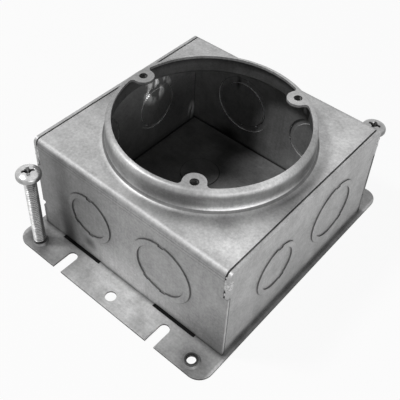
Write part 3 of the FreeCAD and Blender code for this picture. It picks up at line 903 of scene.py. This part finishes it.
clear_selection()
bpy.ops.mesh.primitive_cone_add(vertices=24, radius1=0.7 * MM, radius2=2.3 * MM, depth=3.4 * MM,
                                location=(0, 0, RECESS_MIDDLE * MM))
punch = bpy.context.object
for cutter in (blade(0), blade(90), punch):
    modify(head, "BOOLEAN", operation="DIFFERENCE", solver="EXACT", object=cutter)
    bpy.data.objects.remove(cutter)
modify(head, "BEVEL", width=0.1 * MM, segments=2, limit_method="ANGLE", angle_limit=SMOOTH_ANGLE)
print("head with its recess", len(head.data.polygons), "faces")

# %% [markdown]
# Head and shank together
#
# The head is lifted to the top of the shank, which reaches a little way into it, and the two become one
# piece. Edges sharper than the smoothing angle stay sharp, so the thread keeps its crests.

# %% Put the head on the shank
clear_selection()
head.select_set(True)
bpy.ops.transform.translate(value=(0, 0, SCREW_LENGTH * MM))
bpy.ops.object.transform_apply(location=True, rotation=True, scale=True)
screw = join([shank, head])
screw.data.materials.append(screw_finish)
bpy.ops.object.shade_smooth_by_angle(angle=SMOOTH_ANGLE)
print("screw", len(screw.data.polygons), "faces")

# %% [markdown]
# Two screws from one
#
# The screw is finished once and copied, each copy with its own mesh. Each is turned the way that its
# recess points in the photograph, and stands in its own tapped hole with its tip just off the floor.

# %% Place the screws
RECESS_TURNS = [57, 8]
for name, place, turned in zip(("front_screw", "back_screw"), SCREW_PLACES, RECESS_TURNS):
    placed = screw.copy()
    placed.data = screw.data.copy()
    placed.name = name
    bpy.context.collection.objects.link(placed)
    select_only(placed)
    placed.rotation_euler = (0, 0, math.radians(turned))
    placed.location = (place[0] * MM, place[1] * MM, SCREW_TIP * MM)
    bpy.ops.object.transform_apply(location=True, rotation=True, scale=True)
    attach(placed, "root")
    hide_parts("levelling_screws")
    print(name, "stands", [round(length / MM, 2) for length in placed.dimensions], "mm")
bpy.data.objects.remove(screw)

# %% [markdown]
# Tapped holes
#
# Two raised holes of the plate and the three ears are tapped, and their threads are painted nearly black, as
# painted shade, with a glint on top. A ridge is a small tooth on the wall of the hole, carried up a spiral and
# cut level at both mouths of the hole. Its back lies a little way in the metal, so no gap can open behind it.

# %% Cut the inner threads
BEHIND_WALL = 0.08
BOSS_THREAD = {"bottom": 0.3, "top": 2.2, "bore": 2.55, "depth": 0.3, "pitch": PITCH}
EAR_THREAD = {"bottom": RIM_TOP - 2.5, "top": RIM_TOP - 0.25, "bore": 2.1, "depth": 0.28, "pitch": 0.8}

finish = Finish("tapped_thread")
thread_mottle = finish.noise(0.7, 2.0)
# painted shade: the thread is painted nearly black
finish.paint(thread_mottle.ramp(0.35, 0.65, 0.01, 0.06), 0.3 + (thread_mottle - 0.5) * 0.2, 0.5)
finish.raise_by(thread_mottle * 0.01)
thread_finish = finish.material


def tapped_thread(name, across, along, bottom, top, bore, depth, pitch):
    """The ridge of an inner thread in a hole of this radius, between two heights."""
    behind, ridge = bore + BEHIND_WALL, bore - depth
    tooth = [(behind, 0), (ridge, pitch * 0.38), (ridge, pitch * 0.5), (behind, pitch * 0.88), (behind, 0)]
    thread = draw_line(name, [(out, up + bottom - pitch) for out, up in tooth])
    modify(thread, "SCREW", screw_offset=pitch * MM, iterations=turns_for(top - bottom, pitch),
           steps=32, render_steps=32)
    bpy.ops.object.mode_set(mode="EDIT")
    cut_level(bottom, top)
    bpy.ops.mesh.select_all(action="SELECT")
    bpy.ops.transform.translate(value=(across * MM, along * MM, 0))
    tidy_normals(thread)
    bpy.ops.object.shade_smooth_by_angle(angle=math.radians(30))
    thread.data.materials.append(thread_finish)
    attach(thread, "root")
    print(name, len(thread.data.polygons), "faces")


tapped_thread("front_tapped_thread", BOSS_ACROSS, -BOSS_ALONG, **BOSS_THREAD)
tapped_thread("back_tapped_thread", -BOSS_ACROSS, BOSS_ALONG, **BOSS_THREAD)
for name, (across, along) in zip(EARS, ear_holes):
    tapped_thread(name + "_ear_thread", across + BOX_MIDDLE, along, **EAR_THREAD)

# %% [markdown]
# Weld metal
#
# A weld is lighter and shinier than the zinc round it, because its surface was molten last. It has a
# fine scale, which changes its grey and its gloss and is also seen as small lumps.

# %% Finish the welds
finish = Finish("weld_metal")
scale = finish.noise(1.1, 3.0)
finish.paint(0.42 + (scale - 0.5) * 0.9, 0.3 + (scale - 0.5) * 0.3, 1.0)
finish.raise_by(scale * 0.05)
weld_finish = finish.material
weld_texture = bpy.data.textures.new("weld_texture", "CLOUDS")
weld_texture.noise_scale = 1.6 * MM
finish.tell()

# %% [markdown]
# Welds at the corners
#
# Each upper corner is held by one short weld: metal that ran into the seam and spread in a flat puddle
# on the end plate. A weld is modelled as drops put where the metal went. They are melted into one body
# by a voxel remesh, roughened by a cloudy displacement and smoothed, as the surface of a melt is.

# %% Melt the welds
WIDE_WELD = [((57.5, 59.15, 52.0), (0.8, 0.4, 4.0)), ((58.9, 59.2, 52.4), (0.8, 0.45, 3.2)),
             ((59.45, 58.1, 52.2), (0.28, 1.8, 3.2)), ((57.6, 59.2, 57.2), (0.5, 0.3, 0.6)),
             ((57.5, 59.15, 45.6), (0.6, 0.35, 0.9))]
THIN_WELD = [((57.5, 59.15, 51.0), (0.8, 0.4, 5.5)), ((59.1, 59.25, 49.5), (0.7, 0.45, 1.6)),
             ((59.2, 59.3, 54.0), (0.6, 0.4, 1.4)), ((59.45, 58.6, 51.5), (0.24, 1.0, 3.6))]
MELT_GRAIN, MELT_LUMPS = 0.16, 0.35


def weld(name, drops, across, along):
    """One weld from drops given as (place, size) for the right half, moved to its corner by two signs."""
    made = []
    for (x, y, z), size in drops:
        clear_selection()
        bpy.ops.mesh.primitive_ico_sphere_add(subdivisions=3, radius=MM)
        bpy.ops.object.mode_set(mode="EDIT")
        bpy.ops.transform.resize(value=size)
        bpy.ops.transform.translate(value=Vector((across * x + BOX_MIDDLE, along * y, z)) * MM)
        bpy.ops.object.mode_set(mode="OBJECT")
        made.append(bpy.context.object)
    bead = join(made)
    bead.name = name
    modify(bead, "REMESH", mode="VOXEL", voxel_size=MELT_GRAIN * MM)
    modify(bead, "DISPLACE", texture=weld_texture, texture_coords="LOCAL", strength=MELT_LUMPS * MM,
           mid_level=0.5)
    modify(bead, "SMOOTH", factor=0.5, iterations=3)
    bpy.ops.object.shade_smooth()
    bead.data.materials.append(weld_finish)
    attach(bead, "root")
    print(name, len(bead.data.polygons), "faces")


weld("front_right_weld", WIDE_WELD, 1, -1)
weld("back_left_weld", WIDE_WELD, -1, 1)
weld("back_right_weld", THIN_WELD, 1, 1)
weld("front_left_weld", THIN_WELD, -1, -1)

# %% [markdown]
# The floor
#
# The box stands on a plain white surface. Its material is white paint that takes a shadow, mixed with plain
# white where the camera or the metal looks at it, so the background stays white. Under the box itself the floor
# is painted near black in a patch of the same outline, as painted shade, so that the narrow openings at the
# walls' feet look dark.

# %% Lay the floor
FLOOR_GREY, UNDER_BOX_SHADE_GREY = 0.9, 0.02
UNDER_BOX_SHADE_MARGIN = 1.4
GLOW = 0.93


def looked_at(tree):
    """1 where the camera looks, straight or by way of shine and glass, and 0 for light passed on."""
    rays = ("Is Camera Ray", "Is Glossy Ray", "Is Transmission Ray")
    return highest(Value.source(tree, "LightPath", ray) for ray in rays)


bpy.ops.mesh.primitive_grid_add(x_subdivisions=4, y_subdivisions=4, size=3.0)
floor = bpy.context.object
floor.name = "floor"
finish = Finish("floor_paint")
past_side, past_end = abs(finish.x + BOX_MIDDLE) - BOX_HALF, abs(finish.y) - BOX_HALF - UNDER_BOX_SHADE_MARGIN
# painted shade under the box
under_box_shade = past_side.most(past_end).fade(-0.1, 0.1)
finish.paint(FLOOR_GREY - under_box_shade * (FLOOR_GREY - UNDER_BOX_SHADE_GREY), 1.0, 0.0)
finish.shader.inputs["Specular IOR Level"].default_value = 0.0
tree = finish.material.node_tree
white = under_box_shade.node("Emission", {}, {"Color": (1, 1, 1, 1), "Strength": 1.0})
whiteness = looked_at(tree) * (1 - under_box_shade) * GLOW
mixed = under_box_shade.node("MixShader", {}, {0: whiteness, 1: Value(finish.shader.outputs[0]), 2: white})
tree.links.new(mixed.socket, tree.nodes["Material Output"].inputs["Surface"])
floor.data.materials.append(finish.material)
finish.tell()

# %% [markdown]
# The surroundings
#
# Beyond the floor's edge lies the world. It looks white too, for the same rays, but gives the box only
# a weak even light, as a room does beside its lamps.

# %% Set the world
AMBIENT = 0.09
world = bpy.data.worlds.new("studio")
bpy.context.scene.world = world
world.use_nodes = True
tree = world.node_tree
background = tree.nodes["Background"]
tree.links.new((looked_at(tree) * (1 - AMBIENT) + AMBIENT).socket, background.inputs["Strength"])
background.inputs["Color"].default_value = (1, 1, 1, 1)
print("even light of", AMBIENT)

# %% [markdown]
# The lamps
#
# Soft boxes are area lamps. Metal shows them as broad highlights, so their places matter more than
# their number: each one is a direction from the box, a size in metres and a strength. A small strong
# one at the upper left makes the shadow, and two wide low ones at the right light the end plate and
# reach in through the collar.

# %% Hang the lamps
SOFT_BOXES = [("key", 311, 56, 0.18, 6.6), ("side", 60, 25, 0.55, 1.9), ("low_side", 75, 10, 0.55, 1.5)]
LAMP_DISTANCE, AIM_HEIGHT = 1.2, 0.03

for name, azimuth, elevation, size, power in SOFT_BOXES:
    away = direction_to(azimuth, elevation)
    bpy.ops.object.light_add(type="AREA", location=away * LAMP_DISTANCE + Vector((0, 0, AIM_HEIGHT)))
    lamp = bpy.context.object
    lamp.name = name
    lamp.rotation_euler = away.to_track_quat("Z", "Y").to_euler()
    lamp.data.size = size
    lamp.data.energy = power
    print("lamp", name, "of", power, "W")
